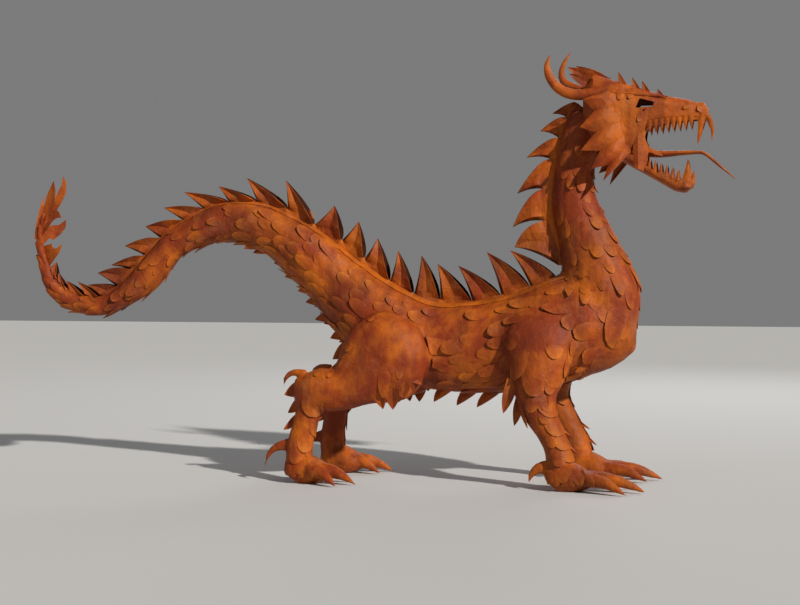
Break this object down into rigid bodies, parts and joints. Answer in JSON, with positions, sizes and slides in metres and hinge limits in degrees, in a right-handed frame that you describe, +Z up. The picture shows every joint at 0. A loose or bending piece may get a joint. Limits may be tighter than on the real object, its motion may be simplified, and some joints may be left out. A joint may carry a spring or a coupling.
{
  "type": "dragon sculpture",
  "caption": "Walking long-tailed dragon built of overlapping sheet-steel scales, with folded fins along its spine, an open toothed jaw, swept horns and clawed feet",
  "frame": {"origin": "middle of the footprint box, on the ground plane", "axes": "+X runs from tail to head, +Z is up, -Y is the right flank that the picture shows"},
  "size_m": [5.1182, 1.001, 3.003],
  "materials": {
    "weathered_steel": "matte orange-brown rust over welded sheet steel"
  },
  "bodies": {
    "root": {"body_skin": "weathered_steel", "back_fin_01": "weathered_steel", "back_fin_02": "weathered_steel", "back_fin_03": "weathered_steel", "back_fin_04": "weathered_steel", "back_fin_05": "weathered_steel", "back_fin_06": "weathered_steel", "back_fin_07": "weathered_steel", "back_fin_08": "weathered_steel", "back_fin_09": "weathered_steel", "back_fin_10": "weathered_steel", "back_fin_11": "weathered_steel", "back_fin_12": "weathered_steel", "back_fin_13": "weathered_steel", "back_fin_14": "weathered_steel", "back_fin_15": "weathered_steel", "back_fin_16": "weathered_steel", "back_fin_17": "weathered_steel", "back_fin_18": "weathered_steel", "back_fin_19": "weathered_steel", "back_fin_20": "weathered_steel", "back_fin_21": "weathered_steel", "back_fin_22": "weathered_steel", "back_fin_23": "weathered_steel", "neck_fin_1": "weathered_steel", "neck_fin_2": "weathered_steel", "neck_fin_3": "weathered_steel", "neck_fin_4": "weathered_steel", "neck_fin_5": "weathered_steel", "neck_fin_6": "weathered_steel", "tail_leaf_1": "weathered_steel", "tail_leaf_2": "weathered_steel", "tail_leaf_3": "weathered_steel", "tail_leaf_4": "weathered_steel", "tail_leaf_5": "weathered_steel", "tail_leaf_6": "weathered_steel", "skull": "weathered_steel", "lower_jaw": "weathered_steel", "tongue": "weathered_steel", "horn_right": "weathered_steel", "cheek_frill_right": "weathered_steel", "horn_left": "weathered_steel", "cheek_frill_left": "weathered_steel", "rear_leg_right": "weathered_steel", "front_leg_right": "weathered_steel", "rear_foot_right": "weathered_steel", "front_foot_right": "weathered_steel", "rear_leg_left": "weathered_steel", "front_leg_left": "weathered_steel", "rear_foot_left": "weathered_steel", "front_foot_left": "weathered_steel"}
  },
  "joints": []
}
